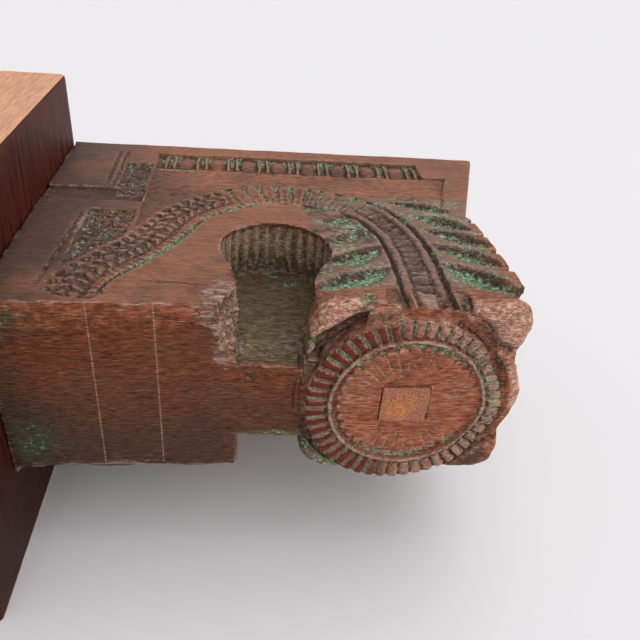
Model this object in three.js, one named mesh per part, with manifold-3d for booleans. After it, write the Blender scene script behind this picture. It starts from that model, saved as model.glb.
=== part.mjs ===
// A carved wooden temple corbel. One squared timber arm reaches out from a backing block and carries a
// beam on its flat top. Both sides of the arm are carved alike: a bead and reel frieze under the top strip,
// a scaled band that rises beside a leaf panel and falls again as the spine of a square hanging lotus bud,
// and a keyhole scoop between the seat and the bud. The bud ends in a notched disc with a square peg let
// into its middle.
// Millimetres. +X points out of the wall, +Z up, and the origin is the middle of the block's back face.
import * as THREE from "three";
import { ConvexGeometry } from "three/addons/geometries/ConvexGeometry.js";
import { mergeVertices } from "three/addons/utils/BufferGeometryUtils.js";
import Module from "manifold-3d";

// Backing block
const blockDepth = 60;
const blockWidth = 271;
const blockHeight = 331;
const blockArris = 1.5;

// Arm: the squared timber
const armLength = 367.5;
const armHeight = 267;
const armThickness = 140;
const armShift = -6.5; // the arm sits a little to one side of the block's middle
const topProud = 1.3; // load face above the block's upper edge
const jointGap = 0.3;

// Top plate
const plateHeight = 130;
const plateRake = 41; // how far the plate's end leans back over its height
const plateCorner = 8;
const endMargin = 23; // plain margin left along the leaning end

// Hanging bud
const budLength = 148; // at the foot, where the bud flares out
const budFlare = 8;
const budOverhang = 28.5; // plate beyond the bud's foot
const budDrop = 1; // leaf tips hang this far below the underside
const budShoulder = 5; // the bud starts this far below the plate
const tierHeight = 40; // lowest ring of leaves, rounded in plan
const tierCorner = 30;
const tierCurl = 9; // how far those leaves curl in at their tips
const hollowDepth = 8;
const hollowSag = 5;
const notchReach = 9;
const notchHalf = 3.2;
const endSpineHalf = 12.5;
const endSpineRise = 2.5;
const tipDentWidth = 13; // dents that part the corner leaves from the spines
const tipDentDepth = 5;
const tipDentStart = 48; // above the leaf tips

// Disc under the bud
const discRadius = 65.5;
const discOffset = 67.2; // disc's middle from the bud's inner face
const discDrop = 8.7; // disc face below the arm's underside
const discHeight = 40;
const rimEdge = 2.2;
const ringRadius = 51;
const ringWidth = 2.8;
const ringRise = 0.7;
const dishShift = 2.2; // the hand-cut ring is a little off the rim's middle
const dishSink = 1.2;
const collarWidth = 6; // groove that parts the disc from the leaf tips
const collarDepth = 17;
const rimNotches = 48;
const notchWidth = 3.8;
const notchDepth = 3.2;

// Peg
const pegLength = 32;
const pegWidth = 29;
const pegHeight = 26;
const pegClearance = 0.3;
const pegSink = 0.4;
const pegShift = 1;

// Keyhole scoops, one from each side, with a web left between them
const scoopRadius = 38;
const scoopDrop = 192; // middle of the round below the load face
const frontScoopDepth = 41;
const backScoopDepth = 34;
const scoopFacets = 30;
const scoopShift = 3.5; // the round is a little nearer to the bud than the throat is
const throatWidth = 41;
const webChamferRun = 22;
const webChamferRise = 5;
const seatBreakReach = 20;
const seatBreakHeight = 31;
const seatWear = 7;

// Frieze
const topStrip = 20;
const beadRow = 30;
const beadSink = 4.5;
const beadPitch = 26.5;
const beadCount = 9;
const beadStart = 88;
const reelThickness = 4;
const reelGap = 3.4;

// Side carving
const fieldSink = 3.4;
const bandWidth = 34;
const spineWidth = 28;
const edgeGroove = 2.6;
const edgeGrooveDepth = 3;
const scalePitch = 9;
const scaleCutWidth = 2.8;
const scaleCutDepth = 1.8;
const panelSink = 2.6;
const lobeRise = 2.4;
const scribeWidth = 1.2;
const scribeDepth = 0.8;

// Places worked out from the sizes above
const halfThickness = armThickness / 2;
const budEnd = armLength - budOverhang;
const budStart = budEnd - budLength;
const budBottom = armHeight + budDrop;
const budTop = budEnd - budFlare;
const discMiddle = budStart + discOffset;
const scoopDepth = (side) => (side < 0 ? frontScoopDepth : backScoopDepth);
const discFace = armHeight + discDrop;
const seatLength = budStart - throatWidth;
const scoopMiddle = (seatLength + budStart) / 2 + scoopShift;
const overcut = 12; // how far a cutter stands out of the wood it cuts

const wasm = await Module();
wasm.setup();
const { Manifold } = wasm;

// A closed three.js geometry as a solid. Poles of a lathe leave flat triangles, which are dropped.
function solid(geometry) {
  const bare = new THREE.BufferGeometry();
  bare.setAttribute("position", geometry.getAttribute("position"));
  if (geometry.index) bare.setIndex(geometry.index);
  const merged = mergeVertices(bare, 1e-3);
  const corners = merged.index.array;
  const kept = [];
  for (let i = 0; i < corners.length; i += 3) {
    const [a, b, c] = [corners[i], corners[i + 1], corners[i + 2]];
    if (a !== b && b !== c && c !== a) kept.push(a, b, c);
  }
  return new Manifold(
    new wasm.Mesh({
      numProp: 3,
      vertProperties: new Float32Array(merged.attributes.position.array),
      triVerts: new Uint32Array(kept),
    }),
  );
}

// A solid back as a named mesh of one material.
function meshOf(made, name, material) {
  const { vertProperties, triVerts } = made.getMesh();
  const geometry = new THREE.BufferGeometry();
  geometry.setAttribute("position", new THREE.BufferAttribute(new Float32Array(vertProperties), 3));
  geometry.setIndex(new THREE.BufferAttribute(new Uint32Array(triVerts), 1));
  geometry.computeVertexNormals();
  const mesh = new THREE.Mesh(geometry, material);
  mesh.name = name;
  return mesh;
}

const point = (x, y, z) => new THREE.Vector3(x, y, z);
const faceted = (points) => solid(new ConvexGeometry(points));

// Side drawings are made in x along the arm and d down from the load face.
const outline = (corners) => new THREE.Shape(corners.map(([x, d]) => new THREE.Vector2(x, -d)));
const onSide = (x, d, side) => point(x, side * halfThickness, -d);
const sideNormal = (side) => point(0, side, 0);

// A side drawing made solid between two distances from the arm's middle plane, on the side at -Y or +Y.
function plate(shape, inner, outer, side) {
  const geometry = new THREE.ExtrudeGeometry(shape, {
    depth: outer - inner,
    bevelEnabled: false,
    curveSegments: 6,
  });
  geometry.rotateX(Math.PI / 2);
  geometry.translate(0, side < 0 ? -inner : outer, 0);
  return solid(geometry);
}

// A pocket of one depth cut into a side
const pocket = (shape, depth, side) => plate(shape, halfThickness - depth, halfThickness + overcut, side);

// A closed skin around rings of points, with a point at each end
function loft(rings, first, last) {
  const sides = rings[0].length;
  const points = [first, ...rings.flat(), last];
  const faces = [];
  const id = (ring, k) => 1 + ring * sides + (k % sides);
  for (let k = 0; k < sides; k++) {
    faces.push(0, id(0, k + 1), id(0, k));
    for (let ring = 0; ring + 1 < rings.length; ring++) {
      faces.push(id(ring, k), id(ring, k + 1), id(ring + 1, k));
      faces.push(id(ring, k + 1), id(ring + 1, k + 1), id(ring + 1, k));
    }
    faces.push(id(rings.length - 1, k), id(rings.length - 1, k + 1), points.length - 1);
  }
  const geometry = new THREE.BufferGeometry().setFromPoints(points);
  geometry.setIndex(faces);
  const made = solid(geometry);
  if (made.volume() > 0) return made;
  for (let i = 0; i < faces.length; i += 3) [faces[i], faces[i + 1]] = [faces[i + 1], faces[i]];
  geometry.setIndex(faces);
  return solid(geometry);
}

// A gouge cut shaped like a boat, along a sagging curve on a flat face. `outward` is the face's normal.
function gougeCut(from, to, sag, width, depth, outward) {
  const bend = from.clone().lerp(to, 0.5);
  bend.z += sag;
  const curve = new THREE.QuadraticBezierCurve3(from, bend, to);
  const stations = 6;
  const angles = [0, -0.25, -0.5, -0.75, -1, 0.5].map((share) => share * Math.PI);
  const rings = [];
  for (let i = 1; i < stations; i++) {
    const t = i / stations;
    const fullness = Math.sin(Math.PI * t ** 1.25) ** 0.7;
    const across = point(0, 0, 0).crossVectors(outward, curve.getTangent(t)).normalize();
    rings.push(
      angles.map((angle) =>
        curve
          .getPoint(t)
          .addScaledVector(across, (width / 2) * fullness * Math.cos(angle))
          .addScaledVector(outward, depth * fullness * Math.sin(angle)),
      ),
    );
  }
  return loft(rings, curve.getPoint(0), curve.getPoint(1));
}

// A straight V-cut from one point to another on a face
function veeCut(from, to, width, depth, outward) {
  const along = point(0, 0, 0).subVectors(to, from);
  const across = point(0, 0, 0).crossVectors(outward, along).normalize();
  const section = (middle) => [
    middle.clone().addScaledVector(outward, -depth),
    middle.clone().addScaledVector(across, width).addScaledVector(outward, depth),
    middle.clone().addScaledVector(across, -width).addScaledVector(outward, depth),
  ];
  return faceted([...section(from), ...section(to)]);
}

// The scaled band's middle line, as shares of the arm's length and height: up from the leaf panel, over the
// scoop, and down the middle of the bud to the disc.
const bandLine = new THREE.SplineCurve(
  [
    [0.134, 0.955],
    [0.145, 0.88],
    [0.19, 0.79],
    [0.228, 0.715],
    [0.256, 0.635],
    [0.29, 0.53],
    [0.353, 0.438],
    [0.42, 0.39],
    [0.49, 0.37],
    [0.575, 0.385],
    [0.662, 0.45],
    [0.712, 0.57],
    [0.731, 0.72],
    [0.729, 1.0],
  ].map(([along, down]) => new THREE.Vector2(along * armLength, -down * armHeight)),
);
const apexShare = 0.66; // from here on the band is the bud's spine

function halfBand(share) {
  const narrowing = THREE.MathUtils.smoothstep(share, 0.4, 0.8);
  return THREE.MathUtils.lerp(bandWidth, spineWidth, narrowing) / 2;
}

// Points along one edge of the band, from one share of its length to another. Edge +1 is the upper one.
function bandEdge(edge, beyond, from, to, steps) {
  const points = [];
  for (let i = 0; i <= steps; i++) {
    const share = from + ((to - from) * i) / steps;
    const along = bandLine.getTangentAt(share);
    const out = new THREE.Vector2(-along.y, along.x).multiplyScalar(edge * (halfBand(share) + beyond));
    points.push(bandLine.getPointAt(share).add(out));
  }
  return points;
}

function edgeStrip(edge, from, to, steps) {
  return new THREE.Shape([
    ...bandEdge(edge, 0, from, to, steps),
    ...bandEdge(edge, edgeGroove, from, to, steps).reverse(),
  ]);
}

// Squared timber with the plate's leaning end and rounded tip
function blank() {
  const lean = plateRake / plateHeight;
  const shape = new THREE.Shape();
  shape.moveTo(0, 0);
  shape.lineTo(armLength - plateCorner, 0);
  shape.quadraticCurveTo(armLength, 0, armLength - lean * plateCorner, -plateCorner);
  shape.lineTo(armLength - plateRake, -plateHeight);
  shape.lineTo(budTop, -(plateHeight + budShoulder));
  const tierMiddle = budBottom - tierHeight * 0.75;
  shape.quadraticCurveTo(budEnd - budFlare * 0.3, -plateHeight * 1.4, budEnd, -tierMiddle);
  shape.lineTo(budStart, -tierMiddle);
  shape.lineTo(budStart, -armHeight);
  shape.lineTo(0, -armHeight);
  return plate(shape, -halfThickness, halfThickness, 1);
}

// Lowest ring of leaves: rounded in plan and curling in below
function leafTier() {
  const [left, right] = [budStart + tierCurl, budEnd - tierCurl];
  const half = halfThickness - tierCurl;
  const corner = tierCorner - tierCurl;
  const shape = new THREE.Shape();
  shape.moveTo(left + corner, -half);
  shape.lineTo(right - corner, -half);
  shape.quadraticCurveTo(right, -half, right, -half + corner);
  shape.lineTo(right, half - corner);
  shape.quadraticCurveTo(right, half, right - corner, half);
  shape.lineTo(left + corner, half);
  shape.quadraticCurveTo(left, half, left, half - corner);
  shape.lineTo(left, -half + corner);
  shape.quadraticCurveTo(left, -half, left + corner, -half);
  const geometry = new THREE.ExtrudeGeometry(shape, {
    depth: tierHeight - 2 * tierCurl,
    bevelThickness: tierCurl,
    bevelSize: tierCurl,
    bevelSegments: 3,
    curveSegments: 4,
  });
  geometry.translate(0, 0, -(budBottom - tierCurl));
  return solid(geometry);
}

// The web's end between the seat and the bud, below the leaves
function webFoot() {
  return faceted(
    [-1, 1].flatMap((side) => {
      const y = side * (halfThickness - scoopDepth(side));
      return [
        point(budStart - 1, y, -armHeight),
        point(budStart - 1, y, -armHeight + tierHeight),
        point(discMiddle, y, -armHeight),
        point(discMiddle, y, -armHeight + tierHeight),
      ];
    }),
  );
}

// Spine of the bud's end face, swelling towards the disc
function endSpine() {
  const points = [];
  for (const side of [-1, 1]) {
    for (const [x, half, d] of [
      [budTop - overcut, 1, plateHeight + 25],
      [budTop - overcut, 1, armHeight],
      [budTop + 5, 0.55, plateHeight + 25],
      [budEnd + endSpineRise - 5, 0.85, budBottom - 70],
      [budEnd + endSpineRise, 1, budBottom - 30],
      [budEnd + endSpineRise, 0.9, budBottom - 6],
      [budEnd + endSpineRise - 5, 0.8, armHeight - 1],
    ]) {
      points.push(point(x, side * half * endSpineHalf, -d));
    }
  }
  return faceted(points);
}

// Foot of each side's spine, which comes down over the collar onto the disc
function spineFoot(side) {
  const middle = bandLine.getPointAt(0.97).x;
  const points = [];
  for (const [x, low] of [
    [middle - spineWidth * 0.65, budBottom],
    [middle + spineWidth * 0.65, budBottom],
    [middle - spineWidth / 2, armHeight],
    [middle + spineWidth / 2, armHeight],
  ]) {
    points.push(point(x, side * halfThickness, -(budBottom - 30)));
    points.push(point(x, side * halfThickness, -(low - 8)));
    points.push(point(x, side * (halfThickness - 5), -low));
    points.push(point(x, side * (halfThickness - 20), -low));
    points.push(point(x, side * (halfThickness - 20), -(budBottom - 30)));
  }
  return faceted(points);
}

// Keyhole scoop with a gouged round, and the slope at the front of its floor
function scoop(side) {
  const round = [];
  for (let i = 0; i < scoopFacets; i++) {
    const turn = (-2 * Math.PI * i) / scoopFacets;
    round.push([scoopMiddle + scoopRadius * Math.cos(turn), scoopDrop + scoopRadius * Math.sin(turn)]);
  }
  const shoulder = scoopDrop + scoopRadius * 0.55;
  const throat = [
    [seatLength, armHeight - webChamferRun],
    [seatLength, armHeight + overcut],
    [budStart, armHeight + overcut],
    [budStart, armHeight - webChamferRun * 0.6],
    [scoopMiddle + scoopRadius * 0.82, shoulder],
    [scoopMiddle - scoopRadius * 0.82, shoulder],
  ];
  const floor = halfThickness - scoopDepth(side);
  const made = [
    plate(outline(round), floor, halfThickness + overcut, side),
    plate(outline(throat), floor, halfThickness + overcut, side),
  ];
  if (side > 0) return Manifold.union(made);
  const slope = [];
  for (const x of [seatLength, budStart]) {
    slope.push(point(x, side * (floor + overcut), -(armHeight - webChamferRun)));
    slope.push(point(x, side * floor, -(armHeight - webChamferRun)));
    slope.push(point(x, side * (floor - webChamferRise), -armHeight - 0.5));
    slope.push(point(x, side * (floor + overcut), -armHeight - 0.5));
  }
  return Manifold.union([...made, faceted(slope)]);
}

// The seat's corner beside the throat: broken away on one side, rounded by wear on the other
function seatCorner(side) {
  const outer = side * (halfThickness + 2);
  const inner = side * (halfThickness - scoopDepth(side));
  const edge = seatLength + 2;
  if (side > 0) {
    return faceted([
      point(edge - seatWear - 2, outer, -armHeight - 2),
      point(edge, outer - seatWear - 2, -armHeight - 2),
      point(edge, outer, -armHeight - 2),
      point(edge - seatWear - 2, outer, -armHeight + webChamferRun * 2),
      point(edge, outer - seatWear - 2, -armHeight + webChamferRun * 2),
      point(edge, outer, -armHeight + webChamferRun * 2),
    ]);
  }
  return faceted([
    point(edge - seatBreakReach, outer, -armHeight - 2),
    point(edge - seatBreakReach * 0.5, outer, -armHeight + seatBreakHeight * 0.55),
    point(edge, outer, -armHeight + seatBreakHeight),
    point(edge - seatBreakReach * 0.5, inner, -armHeight - 2),
    point(edge, inner, -armHeight + seatBreakHeight * 0.45),
    point(edge, outer, -armHeight - 2),
    point(edge, inner, -armHeight - 2),
  ]);
}

// Bead and reel frieze: long beads between pairs of thin discs, in a sunk row under the top strip
const friezeStart = beadStart - beadPitch * 0.45;
const friezeEnd = beadStart + beadPitch * (beadCount - 0.7);

function friezeBeads(side) {
  const made = [];
  const middle = topStrip + beadRow / 2;
  const reelRadius = beadRow / 2 - 1;
  const beadLength = beadPitch - 2 * reelThickness - reelGap - 1;
  const squash = (geometry, x) => {
    geometry.scale(1, beadSink / reelRadius, 1);
    geometry.translate(x, side * (halfThickness - beadSink), -middle);
    return solid(geometry);
  };
  for (let i = 0; i < beadCount; i++) {
    const x = beadStart + beadPitch * i;
    for (const which of [-1, 1]) {
      const reel = new THREE.CylinderGeometry(reelRadius, reelRadius, reelThickness, 8);
      reel.rotateZ(Math.PI / 2);
      made.push(squash(reel, x + (which * (reelThickness + reelGap)) / 2));
    }
    if (i + 1 === beadCount) break;
    const bead = new THREE.SphereGeometry(reelRadius - 2, 8, 4);
    bead.rotateZ(Math.PI / 2);
    bead.scale(beadLength / 2 / (reelRadius - 2), 1, 1);
    made.push(squash(bead, x + beadPitch / 2));
  }
  return made;
}

// Ground between the frieze, the band and the panels, sunk so that they stand proud
function groundCuts(side) {
  const low = topStrip + beadRow;
  const edge = bandEdge(1, 0, 0.2, 0.68, 18).map((p) => [p.x, -p.y]);
  const right = armLength - (plateRake / plateHeight) * low - endMargin;
  return [
    pocket(
      outline([
        [friezeStart, low],
        ...edge,
        [right - (plateRake / plateHeight) * 50, low + 50],
        [right, low],
      ]),
      fieldSink,
      side,
    ),
    pocket(
      outline([
        [-1, armHeight * 0.375],
        [-1, armHeight * 0.46],
        [friezeStart + 14, armHeight * 0.46],
        [friezeStart + 14, armHeight * 0.43],
        [0.203 * armLength, armHeight * 0.43],
        [0.13 * armLength, armHeight * 0.375],
      ]),
      fieldSink - 0.6,
      side,
    ),
    pocket(
      outline([
        [friezeStart, topStrip],
        [friezeStart, low + 0.5],
        [friezeEnd, low + 0.5],
        [friezeEnd, topStrip],
      ]),
      beadSink,
      side,
    ),
  ];
}

// Grooves along the band's two edges, and cross cuts that make its scales
function bandCuts(side) {
  const made = [
    pocket(edgeStrip(-1, 0.005, 0.97, 32), edgeGrooveDepth, side),
    pocket(edgeStrip(1, apexShare, 0.97, 12), edgeGrooveDepth, side),
  ];
  const length = bandLine.getLength();
  const count = Math.floor((length * 0.94) / scalePitch);
  for (let i = 1; i < count; i++) {
    const share = 0.02 + (0.94 * i) / count;
    const along = bandLine.getTangentAt(share);
    const middle = bandLine.getPointAt(share);
    const reach = halfBand(share) - edgeGroove - 1;
    const [from, to] = [-reach, reach].map((offset) =>
      onSide(middle.x - along.y * offset, -(middle.y + along.x * offset), side),
    );
    made.push(veeCut(from, to, scaleCutWidth / 2, scaleCutDepth, sideNormal(side)));
  }
  return made;
}

// Leaf panels beside the block, each a sunk field with rows of raised lobes, and scored lines next to them
const panels = [
  { left: 0.142, right: 0.2, top: 0.17, bottom: 0.42, columns: 2, rows: 4 },
  { left: 0.11, right: 0.18, top: 0.525, bottom: 0.955, columns: 2, rows: 7 },
];

function panelCuts(side) {
  return panels.map(({ left, right, top, bottom }) =>
    pocket(
      outline([
        [left * armLength, top * armHeight],
        [left * armLength, bottom * armHeight],
        [right * armLength, bottom * armHeight],
        [right * armLength, top * armHeight],
      ]),
      panelSink,
      side,
    ),
  );
}

function panelLobes(side) {
  const made = [];
  for (const { left, right, top, bottom, columns, rows } of panels) {
    const wide = ((right - left) * armLength) / columns;
    const tall = ((bottom - top) * armHeight) / rows;
    for (let row = 0; row < rows; row++) {
      for (let column = 0; column < columns; column++) {
        const lobe = new THREE.OctahedronGeometry(1);
        lobe.scale(wide * 0.47, lobeRise, tall * 0.49);
        lobe.translate(
          left * armLength + wide * (column + 0.5),
          side * (halfThickness - panelSink),
          -(top * armHeight + tall * (row + 0.5)),
        );
        made.push(solid(lobe));
      }
    }
  }
  return made;
}

function scoredLines(side) {
  const lines = [
    [[0.118, 0.075], [0.118, 0.36]],
    [[0.134, 0.075], [0.134, 0.36]],
    [[0.098, 0.55], [0.08, 0.93]],
  ];
  return lines.map(([from, to]) =>
    veeCut(
      onSide(from[0] * armLength, from[1] * armHeight, side),
      onSide(to[0] * armLength, to[1] * armHeight, side),
      scribeWidth,
      scribeDepth * 2,
      sideNormal(side),
    ),
  );
}

// Two lines scribed across the seat's underside, where the column's edges came
function seatScribes() {
  return [0.41, 0.668].map((share) => {
    const x = share * seatLength;
    return veeCut(
      point(x, -halfThickness - 2, -armHeight),
      point(x, halfThickness + 2, -armHeight),
      scribeWidth / 2,
      scribeDepth,
      point(0, 0, -1),
    );
  });
}

// Hollows of the bud's leaves on a side: inner x and d, outer x and d, and width. x is a share of the bud's
// length, d of the arm's height. The first ones droop towards the scoop, the others towards the end.
const leafHollows = [
  [0.37, 0.475, 0.1, 0.56, 17],
  [0.39, 0.585, 0.1, 0.675, 14],
  [0.4, 0.7, 0.12, 0.795, 17],
  [0.41, 0.805, 0.05, 0.905, 16],
  [0.46, 0.365, 0.7, 0.378, 8],
  [0.5, 0.405, 0.83, 0.468, 11],
  [0.6, 0.495, 0.91, 0.575, 14],
  [0.62, 0.58, 0.95, 0.668, 15],
  [0.63, 0.67, 0.96, 0.775, 18],
  [0.63, 0.775, 0.97, 0.915, 22],
];
// Where the leaf tips part at the end's arris, as shares of the arm's height
const tipPartings = [0.515, 0.605, 0.7, 0.795, 0.935];

function leafCuts(side) {
  const outward = sideNormal(side);
  const made = leafHollows.map(([x0, d0, x1, d1, width]) =>
    gougeCut(
      onSide(budStart + x0 * budLength, d0 * armHeight, side),
      onSide(budStart + x1 * budLength, d1 * armHeight, side),
      x1 > x0 ? hollowSag / 2 : -hollowSag,
      width,
      hollowDepth,
      outward,
    ),
  );
  for (const share of tipPartings) {
    const notch = new THREE.OctahedronGeometry(1);
    notch.scale(notchReach, notchReach, notchHalf);
    notch.translate(endAt(share * armHeight), side * halfThickness, -share * armHeight);
    made.push(solid(notch));
  }
  return made;
}

// How far out the bud's end reaches at a depth below the load face
function endAt(d) {
  const down = (d - plateHeight) / (budBottom - plateHeight);
  return budTop + budFlare * Math.sin(Math.min(down * 1.25, 1) * (Math.PI / 2));
}

// The same leaves on the bud's end face
const endLeafDrops = [0.535, 0.62, 0.715, 0.815];

function endLeafCuts() {
  const made = [];
  for (const side of [-1, 1]) {
    for (const share of endLeafDrops) {
      const lower = share + 0.08;
      made.push(
        gougeCut(
          point(endAt(share * armHeight), side * endSpineHalf * 1.1, -share * armHeight),
          point(endAt(lower * armHeight), side * (halfThickness - 5), -lower * armHeight),
          hollowSag / 2,
          15,
          hollowDepth - 1,
          point(1, 0, 0),
        ),
      );
    }
  }
  return made;
}

// Upright dents between the corner leaves and the spines, on the bud's sides and on its end
function tipDents() {
  const made = [];
  const [top, low] = [budBottom - tipDentStart, budBottom + tipDentDepth];
  for (const side of [-1, 1]) {
    const dent = (from, to, outward) => gougeCut(from, to, 0, tipDentWidth, tipDentDepth, outward);
    const y = side * (endSpineHalf + tipDentWidth);
    made.push(dent(point(budEnd - 1, y, -top), point(budEnd - 1, y, -low), point(1, 0, 0)));
    for (const way of [-1, 1]) {
      const x = bandLine.getPointAt(0.97).x + (way * (spineWidth + tipDentWidth)) / 2;
      made.push(dent(onSide(x, top, side), onSide(x, low, side), sideNormal(side)));
    }
  }
  return made;
}

// A turned shape on an upright axis at x, from radii and rises above z
function turned(profile, x, z) {
  const geometry = new THREE.LatheGeometry(
    profile.map(([radius, rise]) => new THREE.Vector2(radius, rise)),
    rimNotches,
  );
  geometry.rotateX(Math.PI / 2);
  geometry.translate(x, 0, z);
  return solid(geometry);
}

// Notched disc under the bud: a flat rim, and a dished face inside a raised ring
function disc() {
  const rim = turned(
    [
      [0, 0],
      [discRadius - rimEdge, 0],
      [discRadius, rimEdge],
      [discRadius, discHeight * 0.3],
      [discRadius - 4, discHeight],
      [0, discHeight],
    ],
    discMiddle,
    -discFace,
  );
  const half = ringWidth / 2;
  const dish = turned(
    [
      [0, -1],
      [ringRadius, -1],
      [ringRadius - half, dishSink],
      [0, dishSink * 0.5],
    ],
    discMiddle + dishShift,
    -discFace,
  );
  const ring = turned(
    [
      [ringRadius - half, dishSink + 0.5],
      [ringRadius - half, 0],
      [ringRadius, -ringRise],
      [ringRadius + half, 0],
      [ringRadius + half, dishSink + 0.5],
      [ringRadius - half, dishSink + 0.5],
    ],
    discMiddle + dishShift,
    -discFace,
  );
  return rim.subtract(dish).add(ring);
}

function discCuts() {
  const made = [];
  for (let i = 0; i < rimNotches; i++) {
    const turn = (2 * Math.PI * (i + 0.5)) / rimNotches;
    const [c, s] = [Math.cos(turn), Math.sin(turn)];
    const inner = ringRadius + ringWidth;
    const outer = discRadius + 1;
    const from = point(discMiddle + dishShift + inner * c, inner * s, -discFace);
    const to = point(discMiddle + outer * c, outer * s, -discFace + rimEdge * 0.4);
    made.push(veeCut(from, to, notchWidth / 2, notchDepth, point(0, 0, -1)));
  }
  return made;
}

// Groove around the disc that leaves the corner leaves hanging free of it
function collar() {
  return turned(
    [
      [discRadius - 4, -overcut],
      [discRadius + collarWidth + 1, -overcut],
      [discRadius + collarWidth, collarDepth * 0.45],
      [discRadius - 4, collarDepth],
      [discRadius - 4, -overcut],
    ],
    discMiddle,
    -budBottom,
  );
}

// The peg's square, grown by a clearance, from its face up into the disc
function pegBlock(clearance, opening) {
  const height = pegHeight + clearance + opening;
  const geometry = new THREE.BoxGeometry(pegLength + 2 * clearance, pegWidth + 2 * clearance, height);
  geometry.translate(discMiddle + pegShift, 0, -discFace + pegSink - opening + height / 2);
  return solid(geometry);
}

function corbel() {
  let arm = blank().add(leafTier());
  arm = arm.subtract(Manifold.union([...endLeafCuts(), ...tipDents(), collar()]));
  arm = arm.add(Manifold.union([endSpine(), webFoot(), spineFoot(-1), spineFoot(1)]));
  for (const side of [-1, 1]) {
    const ground = Manifold.union([...groundCuts(side), ...panelCuts(side)]);
    arm = arm.subtract(ground);
    arm = arm.add(Manifold.union([...friezeBeads(side), ...panelLobes(side)]));
    const cuts = [...leafCuts(side), ...bandCuts(side), ...scoredLines(side), scoop(side), seatCorner(side)];
    arm = arm.subtract(Manifold.union(cuts));
  }
  arm = arm.add(disc());
  return arm.subtract(Manifold.union([...discCuts(), ...seatScribes(), pegBlock(pegClearance, overcut)]));
}

function backingBlock() {
  const half = new THREE.Vector2(blockWidth / 2 - blockArris, blockHeight / 2 - blockArris);
  const shape = new THREE.Shape([
    new THREE.Vector2(-half.x, -half.y),
    new THREE.Vector2(half.x, -half.y),
    new THREE.Vector2(half.x, half.y),
    new THREE.Vector2(-half.x, half.y),
  ]);
  const geometry = new THREE.ExtrudeGeometry(shape, {
    depth: blockDepth - 2 * blockArris,
    bevelThickness: blockArris,
    bevelSize: blockArris,
    bevelSegments: 1,
  });
  geometry.translate(0, 0, blockArris);
  geometry.rotateX(Math.PI / 2);
  geometry.rotateZ(Math.PI / 2);
  return solid(geometry);
}

const oiledTimber = new THREE.MeshStandardMaterial({ color: 0x6b3a2a, roughness: 0.62, metalness: 0 });
const darkTimber = new THREE.MeshStandardMaterial({ color: 0x4a2620, roughness: 0.55, metalness: 0 });
const endGrain = new THREE.MeshStandardMaterial({ color: 0x9c5a34, roughness: 0.75, metalness: 0 });

const corbelMesh = meshOf(corbel(), "corbel", oiledTimber);
const pegMesh = meshOf(pegBlock(0, 0), "disc_peg", endGrain);
const blockMesh = meshOf(backingBlock(), "backing_block", darkTimber);

const arm = new THREE.Group();
arm.position.set(blockDepth + jointGap, armShift, blockHeight / 2 + topProud);
arm.add(corbelMesh, pegMesh);

const part = new THREE.Group();
part.add(blockMesh, arm);

export default part;
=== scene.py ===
import itertools
import math

import bmesh
import bpy
import numpy as np
from mathutils import Matrix, Vector


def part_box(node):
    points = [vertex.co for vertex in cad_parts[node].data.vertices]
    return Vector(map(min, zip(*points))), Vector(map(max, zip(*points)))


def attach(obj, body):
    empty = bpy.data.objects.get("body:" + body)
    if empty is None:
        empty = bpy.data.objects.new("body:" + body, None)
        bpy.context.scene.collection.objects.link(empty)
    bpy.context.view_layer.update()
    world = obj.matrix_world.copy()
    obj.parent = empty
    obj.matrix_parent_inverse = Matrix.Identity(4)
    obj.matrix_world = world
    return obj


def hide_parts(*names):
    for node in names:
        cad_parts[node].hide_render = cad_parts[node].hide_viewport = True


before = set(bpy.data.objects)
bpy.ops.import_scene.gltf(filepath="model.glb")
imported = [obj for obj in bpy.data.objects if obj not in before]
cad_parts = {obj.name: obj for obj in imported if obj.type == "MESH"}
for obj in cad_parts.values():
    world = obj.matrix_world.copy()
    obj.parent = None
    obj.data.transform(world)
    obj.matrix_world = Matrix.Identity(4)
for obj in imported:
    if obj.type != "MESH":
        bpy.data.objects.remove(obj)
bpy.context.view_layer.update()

# The carved arm: one squared hardwood timber, oiled and worn, with remains of green paint in its hollows.
# Both sides carry the same low relief. The solid's form is remeshed finely, the relief is cut into it by
# functions of the distance along the arm and down from the load face, and wear, paint and painted shade
# become masks.

MM = 0.001
arm_low, arm_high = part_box("corbel")
arm_left = arm_low.x / MM
arm_top = arm_high.z / MM
arm_middle = (arm_low.y + arm_high.y) / 2 / MM
half_thickness = 70.0
arm_length = 367.5
arm_height = 267.0
bud_start = 191.0
bud_top = 331.0
bud_end = 339.0
bud_bottom = 268.0
bud_shoulder = 135.0
plate_height = 130.0
plate_lean = 41.0 / 130.0
scoop_middle = 174.0
scoop_drop = 192.0
scoop_radius = 38.0
scoop_flutes = 30
scoop_floors = {-1: 29.0, 1: 36.0}
seat_end = 150.0
scribed_lines = (61.5, 100.2)
spine_foot = 268.0
disc_middle = 258.2
disc_face = 275.7
disc_radius = 65.5
disc_petals = 34
peg_middle = disc_middle + 1.0
peg_clear = (17.2, 15.7)
ring_middle = 260.4
ring_radius = 51.0
rim_notches = 48
remesh_size = 0.95
most_triangles = 196000


def new_object(name, data):
    obj = bpy.data.objects.new(name, data)
    bpy.context.collection.objects.link(obj)
    return obj


def copy_of_node(node, name):
    """A new object with the CAD node's shape, its loose triangles merged."""
    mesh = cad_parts[node].data.copy()
    mesh.materials.clear()
    build = bmesh.new()
    build.from_mesh(mesh)
    bmesh.ops.remove_doubles(build, verts=build.verts, dist=0.00001)
    build.to_mesh(mesh)
    build.free()
    return new_object(name, mesh)


def bake_modifiers(obj):
    """Makes the object's modifiers part of its mesh."""
    graph = bpy.context.evaluated_depsgraph_get()
    made = bpy.data.meshes.new_from_object(obj.evaluated_get(graph))
    obj.modifiers.clear()
    obj.data = made


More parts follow.
